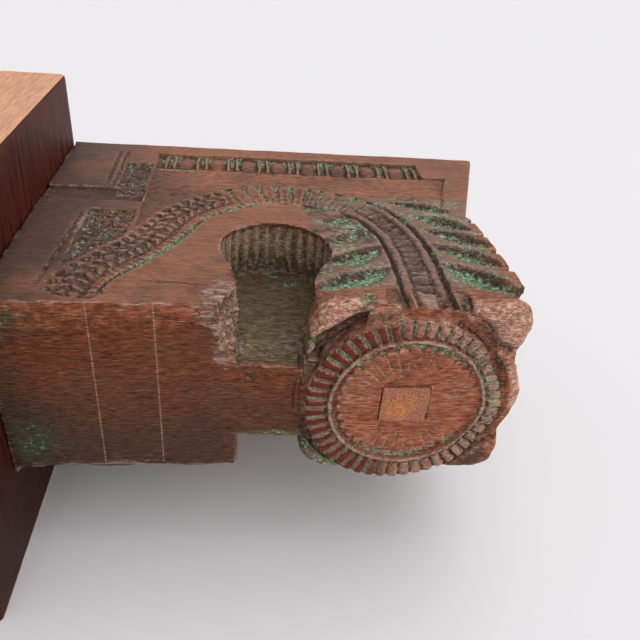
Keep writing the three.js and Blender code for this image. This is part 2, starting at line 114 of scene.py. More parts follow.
def remesh(obj, size):
    change = obj.modifiers.new("remesh", "REMESH")
    change.mode = "VOXEL"
    change.voxel_size = size * MM
    bake_modifiers(obj)


def points_of(mesh):
    values = np.empty(len(mesh.vertices) * 3)
    mesh.vertices.foreach_get("co", values)
    return values.reshape(-1, 3) / MM


def set_points(mesh, points):
    mesh.vertices.foreach_set("co", (points * MM).ravel())
    mesh.update()


def within(points, node):
    """The points, none of them outside the CAD node's box."""
    low, high = (np.array(corner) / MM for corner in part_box(node))
    return np.clip(points, low, high)


def to_arm(points):
    """Points as distances along the arm, from its middle plane and down from its load face."""
    return (points - (arm_left, arm_middle, arm_top)) * (1, 1, -1)


def from_arm(points):
    return points * (1, 1, -1) + (arm_left, arm_middle, arm_top)


def normals_of(mesh):
    values = np.empty(len(mesh.vertices) * 3, np.float32)
    mesh.vertex_normals.foreach_get("vector", values)
    return values.reshape(-1, 3).astype(float)


def edges_of(mesh):
    values = np.empty(len(mesh.edges) * 2, np.int32)
    mesh.edges.foreach_get("vertices", values)
    return values.reshape(-1, 2)


def relaxed(values, edges, rounds, pull=0.5):
    """Each value moved towards the mean of its neighbours, several times over."""
    total = len(values)
    first, second = edges.T
    ties = highest(np.bincount(edges.ravel(), minlength=total), 1)[:, None]
    columns = values.reshape(total, -1).copy()
    for _ in range(rounds):
        sums = [
            np.bincount(first, column[second], total) + np.bincount(second, column[first], total)
            for column in columns.T
        ]
        columns += pull * (np.stack(sums, axis=1) / ties - columns)
    return columns.reshape(values.shape)


highest = np.maximum


def limited(values):
    """The values, none of them below 0 or above 1."""
    return np.clip(values, 0, 1)


def step(low, high, values):
    """0 below low, 1 above high, and smooth between them."""
    share = limited((values - low) / (high - low))
    return share * share * (3 - 2 * share)


def fall(low, high, values):
    return 1 - step(low, high, values)


def between(low, high, soft, values):
    return step(low - soft, low + soft, values) * fall(high - soft, high + soft, values)


def hump(values, width):
    """1 at zero, falling to 0 at width on both sides."""
    return np.sqrt(limited(1 - (values / width) ** 2))


def bell(values, width):
    """1 at zero, fading softly to nothing beyond width."""
    return np.exp(-((values / width) ** 2))


def noise(places, size, seed):
    """Smooth random values from -1 to 1 that change over about `size`, the same on each run."""
    grid = places / np.asarray(size, float) + 11.7 * seed
    cell = np.floor(grid).astype(np.int64)
    part = grid - cell
    part = part * part * (3 - 2 * part)
    total = np.zeros(len(grid))
    for corner in itertools.product((0, 1), repeat=grid.shape[1]):
        weight = np.ones(len(grid))
        mixed = np.full(len(grid), seed * 374761393, np.int64)
        for axis, prime in zip(range(grid.shape[1]), (73856093, 19349663, 83492791)):
            weight = weight * (part[:, axis] if corner[axis] else 1 - part[:, axis])
            mixed = mixed ^ ((cell[:, axis] + corner[axis]) * prime)
        mixed = (mixed & 0xFFFFFFFF) * 2246822519 & 0xFFFFFFFF
        mixed = (mixed ^ (mixed >> 15)) * 3266489917 & 0xFFFFFFFF
        mixed = mixed ^ (mixed >> 13)
        total += weight * ((mixed & 0xFFFF) / 32767.5 - 1)
    return total


def varied(base, swing, size, seed):
    """The base value, varied by noise over the points that are worked on."""
    return base + swing * noise(points, size, seed)


def bud_end_at(d):
    """How far out the bud's end reaches at a depth below the load face."""
    down = (d - plate_height) / (bud_bottom - plate_height)
    flared = bud_top + (bud_end - bud_top) * np.sin(limited(down * 1.25) * math.pi / 2)
    return np.where(d < bud_shoulder, arm_length - plate_lean * d, flared)


# The scaled band's middle line on the side, as shares of the arm's length and height
band_line = [(0.134, 0.955), (0.145, 0.88), (0.19, 0.79), (0.228, 0.715), (0.256, 0.635), (0.29, 0.53)]
band_line += [(0.353, 0.438), (0.42, 0.39), (0.49, 0.37), (0.575, 0.385), (0.662, 0.45), (0.712, 0.57)]
band_line += [(0.731, 0.72), (0.729, 1.0)]
band_steps = 40
band_half = 17.0
spine_half = 14.0
spine_share = 0.66


def spline(corners, steps):
    """Points along a smooth line through the corners, and the length up to each."""
    ends = np.vstack([corners[0], corners, corners[-1]])
    share = np.linspace(0, 1, steps, endpoint=False)[:, None]
    points = []
    for before, start, stop, after in zip(ends, ends[1:], ends[2:], ends[3:]):
        leave = (stop - before) / 2
        arrive = (after - start) / 2
        cube = 2 * start - 2 * stop + leave + arrive
        square = -3 * start + 3 * stop - 2 * leave - arrive
        points.append(cube * share**3 + square * share**2 + leave * share + start)
    points = np.vstack([*points, corners[-1]])
    gaps = np.linalg.norm(np.diff(points, axis=0), axis=1)
    return points, np.concatenate([[0], np.cumsum(gaps)])


band_points, band_lengths = spline(np.array(band_line) * (arm_length, arm_height), band_steps)
band_length = band_lengths[-1]


def along_band(x, d):
    """Length along the band and distance from its middle line, positive on its upper edge."""
    heading = np.gradient(band_points, axis=0)
    heading /= np.linalg.norm(heading, axis=1)[:, None]
    along = np.empty(len(x))
    across = np.empty(len(x))
    for start in range(0, len(x), 20000):
        part = slice(start, start + 20000)
        gap_x = x[part, None] - band_points[:, 0]
        gap_d = d[part, None] - band_points[:, 1]
        near = np.argmin(gap_x**2 + gap_d**2, axis=1)
        rows = np.arange(len(near))
        out = gap_x[rows, near], gap_d[rows, near]
        along[part] = band_lengths[near] + out[0] * heading[near, 0] + out[1] * heading[near, 1]
        across[part] = out[0] * heading[near, 1] - out[1] * heading[near, 0]
    return along, across


# Bead and reel frieze: rows and pitches in millimetres
frieze_top = 20.0
frieze_bottom = 50.0
frieze_start = 76.1
frieze_end = 308.0
frieze_sink = 4.5
bead_start = 88.0
bead_pitch = 26.5
field_sink = 3.4
panel_sink = 3.0


def frieze(x, d):
    """Depth of the frieze's row, how much of it is a gap between reels, and its own area."""
    area = step(frieze_top - 2.5, frieze_top + 2.0, d) * between(frieze_start, frieze_end, 1.0, x)
    area *= 1 - step(frieze_bottom - 0.8, frieze_bottom + 0.8, d)
    middle = (frieze_top + frieze_bottom) / 2
    place = (x - bead_start + bead_pitch / 2) % bead_pitch - bead_pitch / 2
    reel = hump(abs(place) - 3.7, 2.0) * hump(d - middle, 14.8) ** 0.5
    off_middle = (abs(place) - bead_pitch / 2) / 7.4
    bead = np.sqrt(limited(1 - abs(off_middle) ** 3 - ((d - middle) / 13.0) ** 2))
    raised = highest(reel * 0.95, bead * 0.8)
    gap = hump(place, 2.2) + hump(abs(place) - 6.6, 1.3)
    return frieze_sink * (1 - raised), limited(gap) * area, area


def foliage(x, d, seed, pitch=7.2):
    """Height from 0 to 1 of small overlapping leaves, each with a vein."""
    height = np.zeros(len(x))
    column = np.floor(x / pitch)
    row = np.floor(d / pitch)
    for right, down in itertools.product((-1, 0, 1), repeat=2):
        cell = np.stack([column + right, row + down], axis=1)
        jitter = [noise(cell * 3.31, 1.0, seed + k) for k in range(3)]
        middle_x = (cell[:, 0] + 0.5 + 0.3 * jitter[0]) * pitch
        middle_d = (cell[:, 1] + 0.5 + 0.3 * jitter[1]) * pitch
        turn = 0.9 * np.where(cell[:, 0] % 2 == 0, 1, -1) + 1.1 * jitter[2]
        along = (x - middle_x) * np.cos(turn) + (d - middle_d) * np.sin(turn)
        across = (d - middle_d) * np.cos(turn) - (x - middle_x) * np.sin(turn) + 0.09 * along**2
        leaf = np.sqrt(limited(1 - (along / 5.4) ** 2 - (across / 2.9) ** 2))
        vein = 1 - 0.45 * bell(across, 0.55)
        height = highest(height, leaf * vein)
    return height


panels = [(52.2, 73.5, 45.4, 112.1), (40.4, 72.0, 140.2, 255.0)]
scored = [((43.4, 20), (43.4, 96)), ((49.2, 20), (49.2, 96))]
scored += [((36.0, 147), (29.4, 248)), ((325.0, 57), (309.0, 118))]

# Leaf hollows in millimetres: inner x and d, outer x and d, width, depth, and how much green is left.
# Then the depths at which the leaf tips part at the end's arris.
leaf_hollows = [
    (240, 126, 206, 150, 13, 3.0, 0.45),
    (249, 156, 206, 180, 17, 4.5, 0.2),
    (252, 183, 207, 212, 19, 7.5, 0.75),
    (254, 213, 198, 243, 19, 8.0, 0.8),
    (259, 96, 296, 101, 8, 3.5, 0.9),
    (266, 106, 317, 121, 14, 6.5, 1.0),
    (282, 130, 325, 151, 19, 8.5, 0.9),
    (287, 153, 334, 178, 20, 8.5, 0.75),
    (287, 177, 331, 207, 21, 8.5, 0.8),
    (287, 206, 331, 246, 25, 9.5, 1.0),
]
tip_partings = [0.515, 0.605, 0.7, 0.795, 0.935]
hollow_sag = 5.0


def leaves(x, d):
    """Depth of a side's leaves, the green paint in their hollows, and painted shade under each ridge."""
    depth = np.zeros(len(x))
    green = np.zeros(len(x))
    dark = np.zeros(len(x))
    for x0, d0, x1, d1, width, deepest, paint in leaf_hollows:
        chord = np.array([x1 - x0, d1 - d0], float)
        length = np.linalg.norm(chord)
        way = chord / length
        share = ((x - x0) * way[0] + (d - d0) * way[1]) / length
        rightward = x1 > x0
        sag = (hollow_sag / 2 if rightward else -hollow_sag) * -2 * share * (1 - share)
        offset = ((d - d0) * way[0] - (x - x0) * way[1]) * (1 if rightward else -1) - sag
        inside = np.clip(share, 0.001, 1)
        fullness = np.sin(math.pi * inside**1.2) ** 0.6 * (share > 0) * (share < 1)
        half = width / 2 * highest(fullness, 0.02)
        reach = (offset + 0.35 * half) / half
        skewed = np.where(reach > 0, reach / 1.35, reach / 0.65)
        hollow = deepest * fullness * limited(1 - skewed**2) ** 0.6
        edge = limited(1 - (abs(skewed) - 1) * half / 3.0) ** 2 * (abs(skewed) >= 1)
        vein = 0.9 * hump(offset - 0.55 * half, 1.2) * fullness * (width > 15)
        depth = highest(depth, highest(hollow - vein, 1.6 * fullness * edge))
        green = highest(green, paint * step(0.2, 0.65, hollow / deepest) * step(-0.8, -0.35, skewed))
        # Painted shade on the upper wall of each hollow, below the ridge above it
        dark = highest(dark, step(0.15, 0.6, hollow / deepest) * fall(-0.95, -0.3, skewed))
    inward = bud_end_at(d) - x
    for share in tip_partings:
        apart = abs(d - share * arm_height)
        depth = highest(depth, 10 * limited(1 - inward / 11 - apart / 3.2))
    return depth, green, dark


def side_relief(x, d):
    """Depth of a side's low relief below the timber's face, with masks for paint and for painted shade in
    its recesses.
    """
    places = np.stack([x, d], axis=1)
    x = x + 0.7 * noise(places, 8, 1)
    d = d + 0.7 * noise(places, 8, 2)
    along, across = along_band(x, d)
    along = along + 0.8 * noise(places, 6, 4)
    share = along / band_length
    half = band_half + (spine_half - band_half) * step(0.4, 0.8, share)
    level = across / half

    depth = np.zeros(len(x))
    green = np.zeros(len(x))

    # Ground between the frieze and the band, and the shallow channel between the two panels
    right = arm_length - plate_lean * d - 23.0
    in_ground = step(frieze_start - 0.8, frieze_start + 0.8, x) * fall(-1.2, 1.2, x - right)
    in_ground *= step(frieze_bottom - 0.6, frieze_bottom + 0.6, d) * (across > 0) * (share < 0.72)
    in_ground *= step(0.0, 1.6, across - half)
    under_bud_top = 1 - step(92, 100, d) * step(240, 255, x)
    ground_depth = field_sink * (0.75 + 0.25 * noise(places, 22, 3))
    depth = highest(depth, in_ground * under_bud_top * ground_depth)
    ground = in_ground * under_bud_top
    channel = between(100, 123, 1.0, d) * fall(74, 78, x) * between(-2, 92, 1.0, x)
    depth = highest(depth, channel * (field_sink - 0.6))

    row_depth, reel_gap, row = frieze(x, d)
    depth = depth * (1 - row) + row * row_depth
    green = highest(green, reel_gap * fall(30, 40, d) * 0.75)
    green = highest(green, between(50.5, 53.5, 1, d) * between(78, 112, 6, x) * 0.8)

    # Foliage panels, with a cord along the right of the upper one
    for number, (left, stop, top, bottom) in enumerate(panels):
        slant = 0.0 if number == 0 else (d - top) * 0.02
        area = between(left, stop, 0.7, x + slant) * between(top, bottom, 0.7, d)
        area *= step(-0.5, 0.5, abs(across) - half - 0.8)
        leaf = foliage(x + noise(places, 9, 8), d + noise(places, 9, 9), 20 + number)
        depth = depth * (1 - area) + area * (panel_sink * (1 - 0.85 * leaf) + 0.2)
        green = highest(green, area * (leaf < 0.25) * 0.45)
    cord = hump(x - 75.6, 1.5) * between(44, 124, 2, d)
    depth = depth * (1 - cord) + cord * 0.5

    for (x0, d0), (x1, d1) in scored:
        way = np.array([x1 - x0, d1 - d0])
        length = np.linalg.norm(way)
        way = way / length
        place = (x - x0) * way[0] + (d - d0) * way[1]
        off = abs((x - x0) * way[1] - (d - d0) * way[0])
        depth = highest(depth, 1.9 * limited(1 - off / 1.5) * between(0, length, 2, place))

    # The band's rising part: a row of drilled holes, two rows of chevron scales and a rope edge
    inside = fall(0.97, 1.03, abs(level)) * (share > -0.01) * (share < 1.01)
    holes = hump(np.hypot((along + 4.5) % 9.0 - 4.5, (level - 0.72) * half), 3.0)
    lumps = hump((along % 9.0) - 4.5, 5.0)
    upper = 1.2 - 1.0 * lumps + 3.4 * holes
    chevron = (along / 8.5 + abs(level - 0.05) * 1.15 + 0.3 * noise(places, 6, 12)) % 1.0
    scales = 0.3 + 2.6 * step(0.0, 1.0, chevron) * fall(0.86, 1.0, chevron)
    scales += 1.3 * bell(level - 0.05, 0.09)
    rope = 0.6 + 2.0 * (1 - hump(((along + 2.5 * level) % 5.2) - 2.6, 2.9))
    rising = np.where(level > 0.48, upper, np.where(level > -0.52, scales, rope))
    rising += 1.9 * bell(level + 0.52, 0.07) + 1.3 * bell(level - 0.48, 0.07)

    # Over the top it becomes upright lobes, hollow in the middle, with open gaps between them
    lobe_pitch = 11.6
    lobe = (along + lobe_pitch / 2) % lobe_pitch - lobe_pitch / 2
    crown = limited((level - 0.55) / 0.45)
    lobe_half = 4.9 * np.sqrt(np.clip(1 - crown**2 * 0.85, 0.02, 1))
    in_lobe = 1 - step(-0.5, 0.7, abs(lobe) - lobe_half)
    lobes = 3.6 - in_lobe * (3.3 * hump(lobe, 5.6) - 1.1 * hump(lobe, 2.4) * (level > -0.35) * (1 - crown))
    foot = 0.5 + 1.8 * (1 - hump((along % 5.8) - 2.9, 3.1))
    lobes = np.where(level < -0.5, foot, lobes)
    crest = between(0.4, spine_share, 0.02, share)

    # Then the bud's spine: two cords at its edges and rough cross scales between them
    twist = ((along + 3.0 * abs(level)) % 3.9) - 1.95
    cords = 0.1 + 1.5 * (1 - hump(twist, 2.3)) + 3.0 * (1 - hump(abs(level) - 0.76, 0.26))
    cross = (along / 9.0 + 0.25 * level + 0.4 * noise(places, 8, 15)) % 1.0
    plates = 1.5 + 2.2 * step(0.25, 1.0, cross) * fall(0.9, 1.0, cross) + 0.9 * noise(places, 4.5, 16)
    plates += 1.6 * bell(abs(level) - 0.5, 0.09)
    spine = np.where(abs(level) > 0.5, cords, plates)
    past = step(spine_share - 0.02, spine_share + 0.02, share)
    worn_away = 1 - step(0.945, 0.99, share)
    spine = spine * worn_away + 0.6 * (1 - worn_away)

    band = rising * (1 - crest) * (1 - past) + lobes * crest * (1 - past) + spine * past
    band = band * (0.85 + 0.3 * noise(places, 22, 6)) + 0.35 * noise(places, (5, 3), 7) + 0.2
    depth = depth * (1 - inside) + inside * np.clip(band, 0, 5)
    gaps = inside * crest * (1 - past) * (1 - in_lobe) * (level > -0.5)
    green = highest(green, gaps * 0.65)
    rope_green = inside * (1 - past) * step(0.5, 0.9, -level) * step(1.0, 2.0, band)
    green = highest(green, rope_green * 0.55)

    # Grooves along the band's lower edge and on both sides of the spine
    beyond = abs(across) - half
    groove = hump(beyond - 1.4, 1.7) * ((across < 0) | (share > spine_share))
    groove *= (share > 0.0) * (share < 0.985)
    depth = highest(depth, (3.4 + 1.2 * past) * groove)
    low_edge = hump(beyond - 1.6, 3.0) * (across < 0) * between(0.0, 0.62, 0.01, share)
    green = highest(green, low_edge * (0.55 + 0.45 * noise(places, 14, 5)))

    leaf_depth, leaf_green, dark = leaves(x, d)
    clear = step(0.5, 2.5, beyond) * (share > 0.5)
    facets = between(198, 246, 4, x) * between(112, 178, 5, d) * clear
    leaf_depth += facets * (1.3 + 1.5 * noise(places, (17, 10), 17) + 0.5 * noise(places, (6, 4), 18))
    depth = highest(depth, leaf_depth * clear)
    green = highest(green, leaf_green * clear)
    green = highest(green, facets * limited(noise(places, (12, 8), 19)) * 0.7)
    film = clear * step(196, 206, x) * between(100, 244, 6, d) * (0.2 + 0.32 * noise(places, (18, 9), 31))
    green = highest(green, film)
    dark = dark * clear

    # A drying crack beside the scoop
    crack = abs(d - 241.5 - 0.14 * (x - 107) - 0.8 * noise(places, 7, 30))
    depth = highest(depth, 1.6 * limited(1 - crack / 0.9) * between(96, 130, 8, x))
    return depth, limited(green), dark, ground


def drawn_share(x, d):
    """1 where a side's face carries the drawn relief, falling to 0 at its arrises and at the scoop."""
    end = bud_end_at(d) - x
    share = step(0.4, 1.4, x) * step(0.4, 1.4, d) * step(0.4, 1.4, arm_height - d)
    share *= np.where(d > bud_shoulder - 6, step(0.5, 5.0, end), step(0.4, 1.4, end))
    share *= step(0.6, 1.8, np.hypot(x - scoop_middle, d - scoop_drop) - scoop_radius)
    in_throat = (x > seat_end - 1.2) * (x < bud_start + 1.2) * (d > scoop_drop)
    share *= 1 - in_throat
    share *= np.where((x > bud_start - 2) & (d > scoop_drop), step(1.0, 5.0, x - bud_start), 1)
    near_spine = abs(x - spine_foot) < 18
    low = np.where(near_spine, 256.0, 246.0)
    share *= np.where(x > bud_start - 2, 1 - step(low - 8, low, d), 1)
    return share


corbel = copy_of_node("corbel", "carved_arm")
remesh(corbel, remesh_size)
arm_mesh = corbel.data
edges = edges_of(arm_mesh)
points = to_arm(points_of(arm_mesh))
x, s, d = points.T.copy()
side = np.where(s < 0, -1, 1)
outer = half_thickness - abs(s)

# Facets of the bud are rounded first, as a carver's scraper and long wear leave them
on_bud = step(186, 194, x) * step(128, 140, d)
off_disc = 1 - (np.hypot(x - disc_middle, s) < disc_radius + 1) * (d > bud_bottom - 20)
soft = relaxed(points, edges, 9)
soft_all = relaxed(points, edges, 2)
keep = (on_bud * off_disc)[:, None]
points = soft_all * (1 - keep) + soft * keep
x, s, d = points.T.copy()

# The drawn relief is cut into both sides
share = drawn_share(x, d) * (outer < 10.5)
chosen = np.nonzero(share > 0)[0]
flat = points[:, [0, 2]][chosen]
spread = relaxed(points[:, [0, 2]], edges, 6)[chosen]
flat = flat + (spread - flat) * (share[chosen] >= 1)[:, None] * 0.6
depth, paint, dark, ground = side_relief(flat[:, 0], flat[:, 1])
places = np.stack([flat[:, 0], flat[:, 1], 200.0 * (side[chosen] + 1)], axis=1)
depth += 0.28 + 0.28 * noise(places, 34, 40) + 0.12 * noise(places, (16, 3, 9), 41)
weight = share[chosen]
points[chosen, 0] = flat[:, 0]
points[chosen, 2] = flat[:, 1]
points[chosen, 1] = side[chosen] * (half_thickness - outer[chosen] * (1 - weight) - depth * weight)
x, s, d = points.T.copy()


def for_all(values):
    """The chosen points' values, and 0 for all the others."""
    full = np.zeros(len(points))
    full[chosen] = values
    return full


green = for_all(paint * weight)
drawn = for_all(weight)
side_depth = for_all(depth)
ridge_shade = for_all(dark * weight)
flat_ground = for_all(ground * weight)

# Notched disc: domed lobes between the rim's cuts, a raised ring, petals inside it and scribed rays
disc_turn = np.arctan2(s, x - disc_middle)
disc_out = np.hypot(x - disc_middle, s)
ring_out = np.hypot(x - ring_middle, s)
ring_turn = np.arctan2(s, x - ring_middle)
on_face = (d > disc_face - 4.5) & (disc_out < disc_radius + 1)
notch = ((ring_turn / (2 * math.pi) * rim_notches) % 1.0) - 0.5
arc = abs(notch) * 2 * math.pi * ring_out / rim_notches
disc_place = np.stack([x, s], axis=1)
wobble = noise(disc_place, 9, 50)
cut = limited(1 - (arc - 0.35) / (1.55 + 0.25 * wobble)) * step(52.6, 54.2, ring_out)
lobe = hump(arc - math.pi * ring_out / rim_notches, 4.6)
face_depth = 3.3 * cut + 0.7 * (1 - lobe) * step(53, 54.5, ring_out) + 1.1 * step(60.5, 65.5, disc_out) ** 2
ring = hump(ring_out - ring_radius, 1.9)
groove = hump(ring_out - 53.3, 1.1) + hump(ring_out - 48.4, 1.3)
face_depth += 1.7 * groove
petal = ((ring_turn / (2 * math.pi) * disc_petals) % 1.0) - 0.5
ray = abs(petal * 2 - np.sign(petal)) * math.pi * ring_out / disc_petals
ray_number = np.round(ring_turn * disc_petals / (2 * math.pi) - 0.5)
inner_end = 27 - 8 * noise(np.stack([ray_number, petal * 0], axis=1) * 1.7, 1, 52)
ray_part = step(inner_end - 2, inner_end + 2, ring_out) * fall(43, 48, ring_out)
ray_part *= step(-0.75, -0.1, noise(np.stack([ring_turn * 2.2, ring_out * 0.02], axis=1), 1, 51))
petal_here = step(-0.2, 0.3, abs(np.sin(ring_turn)) - 0.45 + 0.7 * (np.cos(ring_turn) < -0.4))
petal_edge = 46.9 - 4.6 * petal_here * abs(petal * 2) ** 2.2
between_tips = step(-0.4, 0.5, ring_out - petal_edge) * (ring_out < 48.6) * petal_here
dish = 1.35 + 2.0 * between_tips
dish += (0.75 * limited(1 - ray / 0.9) - 0.35 * hump(petal, 0.5)) * ray_part
dish += 0.5 * limited(noise(disc_place, 5.5, 53))
in_dish = 1 - step(48.6, 50.0, ring_out)
face_depth = face_depth * (1 - in_dish) + dish * in_dish
face_depth = face_depth * (1 - ring) + ring * (-0.55 + 0.4 * abs(wobble))
off_peg = (abs(x - peg_middle) > peg_clear[0]) | (abs(s) > peg_clear[1])
face = on_face & off_peg & (disc_out < disc_radius - 0.8)
uneven = 0.15 * (noise(points, 14, 54)[face] + 1)
points[face, 2] = disc_face - np.clip(face_depth[face], -0.7, 4.5) - uneven
green_side = 0.25 + 0.5 * step(-0.3, 0.4, np.cos(disc_turn)) * fall(0.1, 0.5, np.sin(disc_turn))
green_notch = cut * (green_side + 0.5 * noise(points, 30, 55))
green_notch += 0.6 * groove * (0.2 + noise(points, 30, 56))
green_tips = between_tips * varied(0.35, 0.9, 24, 57)
green[face] = limited(highest(green_notch, green_tips))[face]

grown = 3.4 * step(57, 64, disc_out) * (disc_out < disc_radius + 1.5) * step(266, 270, d)
grown *= step(0.2, 0.9, s / disc_radius)
points[:, 0] += (x - disc_middle) / disc_out * grown
points[:, 1] += s / disc_out * grown

# Keyhole scoop: hollow flutes left by a gouge round its wall, and a rough floor
scoop_out = np.hypot(x - scoop_middle, d - scoop_drop)
scoop_turn = np.arctan2(d - scoop_drop, x - scoop_middle)
floor = np.where(side < 0, scoop_floors[-1], scoop_floors[1])
on_wall = (abs(scoop_out - scoop_radius) < 1.5) & (abs(s) > floor + 0.5)
on_wall &= abs(s) < half_thickness - 0.5
flute = ((scoop_turn / (2 * math.pi) * scoop_flutes) + 0.22 * noise(points, 26, 60)) % 1.0
hollow = 2.1 * (1 - (2 * flute - 1) ** 2) * step(0, 7, half_thickness - abs(s))
hollow += 0.7 * noise(np.stack([scoop_turn * 20, s], axis=1), (3, 9), 61)
push = np.where(on_wall, hollow, 0) / highest(scoop_out, 1)
points[:, 0] += (x - scoop_middle) * push
points[:, 2] += (d - scoop_drop) * push
in_collar = (disc_out > disc_radius - 1) & (disc_out < disc_radius + 9)
in_collar &= (d < bud_bottom - 2) & (d > bud_bottom - 22)
filled = step(-0.45, 0.05, np.cos(disc_turn) + 0.12 * noise(points, 20, 58)) * 0.9 + 0.05
filled = np.where((x < 204) & (s > -31) & (s < 38), 1.0, filled)
points[:, 2] += np.where(in_collar, filled * (bud_bottom - d), 0)
in_throat = (x > seat_end - 1) & (x < bud_start + 2) & (d > scoop_drop)
in_keyhole = ((scoop_out < scoop_radius + 3) | in_throat) & (d < bud_bottom)
on_floor = in_keyhole & (abs(abs(s) - floor) < 3)
rough = 0.9 * noise(points, (12, 12, 5), 62) + 0.7 * noise(points, (4, 4, 2.5), 63)
rough += 1.6 * step(242, 250, d) * noise(points, (9, 9, 6), 64)
points[:, 1] += np.where(on_floor, side * (rough - 0.5), 0)

# The spine's foot runs into the disc's rim without a step, and a groove bounds each corner leaf
melted = relaxed(points, edges, 22)
foot_share = step(244, 250, d) * fall(30, 38, abs(x - spine_foot)) * (abs(s) > 44) * (1 - face)
points += (melted - points) * foot_share[:, None]
from_foot = abs(points[:, 0] - spine_foot)
beside_foot = step(15, 19, from_foot) * fall(36, 44, from_foot) * between(241, 264, 3, points[:, 2])
sunk = half_thickness - abs(points[:, 1])
beside_foot *= (sunk < 12) * np.clip(sunk - 2.0 - 0.6 * noise(points, 7, 68), 0, 12)
points[:, 1] += np.sign(points[:, 1]) * beside_foot
leaf_groove = np.full(len(points), 99.0)
right_groove = [(285.0, 74.0), (302.0, 61.0), (317.0, 44.0), (332.0, 38.0)]
left_groove = [(236.0, 75.0), (212.0, 55.0), (194.0, 43.0)]
for first, second in [*zip(right_groove, right_groove[1:]), *zip(left_groove, left_groove[1:])]:
    way = np.subtract(second, first)
    place = limited(((x - first[0]) * way[0] + (abs(s) - first[1]) * way[1]) / (way @ way))
    gap = np.hypot(x - first[0] - place * way[0], abs(s) - first[1] - place * way[1])
    leaf_groove = np.minimum(leaf_groove, gap)
leaf_groove = bell(leaf_groove, 2.8) * step(244, 252, d) * (disc_out > disc_radius)

# The end's worn outline low down: a bulging leaf at each corner, notches beside them, a swell in the middle
end_line = [(-70, 341), (-57, 341), (-45, 337), (-35, 333), (-24, 337)]
end_line += [(2, 342), (17, 341), (32, 335), (48, 339), (66, 342)]
reached = np.interp(s, *np.transpose(end_line)) - bud_end
points[:, 0] += reached * step(240, 254, d) * step(296, 328, x)
corner = bell(d - 257, 11) * bell(abs(s) - 66, 10) * step(300, 330, x)
points[:, 0] += 4.5 * corner
points[:, 1] += 3.5 * corner * np.sign(s) * step(40, 60, abs(s))

# Broken seat corner, splintered along the grain, and the chips along the far lower arris
x, s, d = points.T.copy()
break_start = x + 8 * noise(points, (99, 8, 8), 65)
break_near = step(127, 135, break_start) * fall(152, 155, x)
break_near *= step(232, 240, d + 4 * noise(points, 9, 66))
break_near *= fall(-34, -22, s + 6 * noise(points, 7, 67)) * (s > -72)
splinters = 1.6 * noise(points, (26, 4.5, 4.5), 70) + 2.3 * noise(points, (8, 2.2, 2.2), 71)
chip_line = np.hypot(half_thickness - s, arm_height - d)
chips = limited(noise(points, (26, 9, 9), 72) + 0.15)
chips += 0.7 * limited(noise(points, (8, 5, 5), 73))
chips *= 1.5 * limited(1 - chip_line / 11) * (x < 192)
near_line = np.hypot(half_thickness + s, arm_height - d)
nicks = limited(noise(points, (14, 6, 6), 74) + 0.1) * limited(1 - near_line / 6) * (x < 140)
web_chip = bell(x - 160, 9) * bell(s + 17, 9) * (d > 262) * 4.0

set_points(arm_mesh, from_arm(points))
normal = normals_of(arm_mesh) * (1, 1, -1)
inward = break_near * (splinters + 1.2)
inward += 4.2 * leaf_groove + 6.0 * chips + 2.6 * nicks + web_chip * varied(0.7, 0.5, 5, 75)

# Wear: edges rounded unevenly, leaf tips frayed, and the wood's own long ripples
calm = relaxed(points, edges, 5)
lift = np.einsum("ij,ij->i", calm - points, normal)
edge_wear = np.clip(-lift, 0, 1.2) * varied(0.6, 0.5, 16, 76) * (1 - 0.9 * corner)
inward += limited(edge_wear)
ripple = 0.16 + 0.16 * noise(points, (30, 3.5, 3.5), 77) + 0.14 * noise(points, (9, 5, 5), 78)
tips = step(315, 335, x) * step(132, 140, d) * varied(0.5, 0.9, (12, 9, 8), 79)
tips *= 1 - 0.8 * step(10, 40, s)
corner_lumps = step(250, 258, d) * (x > bud_start) * (1 - face) * (disc_out > disc_radius - 2)
corner_lumps = corner_lumps * (0.3 + 0.7 * noise(points, (14, 7, 7), 80) + 0.6 * noise(points, 3.5, 81))
near_joint = np.exp(-x / 2.2) * np.clip(0.5 + noise(points, (9, 7, 7), 83), 0, 1.4) * (outer < 3)
inward += ripple * (1 - 0.6 * face) + np.clip(tips, 0, 2) + np.clip(corner_lumps, 0, 1.5) + near_joint
on_load_face = (d < 1.0) & (normal[:, 2] < -0.9)
inward = np.where(on_load_face, np.clip(0.1 + 0.2 * noise(points, (60, 9, 9), 82), 0, 0.3), inward)
points = points - normal * inward[:, None]
set_points(arm_mesh, within(from_arm(points), "corbel"))

# Masks for the finish and for painted light: recesses and edges from the shape itself, the others from
# where things are. The dark of the recesses is painted shade, and the pale of the edges is partly wear and
# partly painted highlight.
points = to_arm(points_of(arm_mesh))
x, s, d = points.T.copy()
normal = normals_of(arm_mesh) * (1, 1, -1)
fine = np.einsum("ij,ij->i", relaxed(points, edges, 6) - points, normal)
broad = np.einsum("ij,ij->i", relaxed(points, edges, 45) - points, normal)
# Painted shade: darker where the surface sinks below its surroundings, and under the leaf ridges
recess = limited(fine * 1.6) * 0.65 + 0.4 * ridge_shade
recess += limited(broad * 0.5) * (0.6 - 0.3 * drawn)
recess *= 1 - 0.6 * flat_ground
# The dark joint line where the arm meets the block
recess += 0.9 * np.exp(-x / 1.6)
# Pale ridges and arrises: partly wear, partly painted highlight
ridge = limited(-fine * 2.2) * 0.7 + limited(-broad * 0.45) * 0.4
wall_down = half_thickness - abs(s)
in_scoop = in_keyhole & (wall_down > 2) & (abs(s) > floor - 5)
# Painted shade: the scoop darkens the deeper one looks into it
scoop_shade = in_scoop * (0.3 + 0.7 * step(0, 34, wall_down))
scoop_pale = (on_floor & in_scoop) * step(206, 246, d + 7 * noise(points, (16, 9, 9), 85))
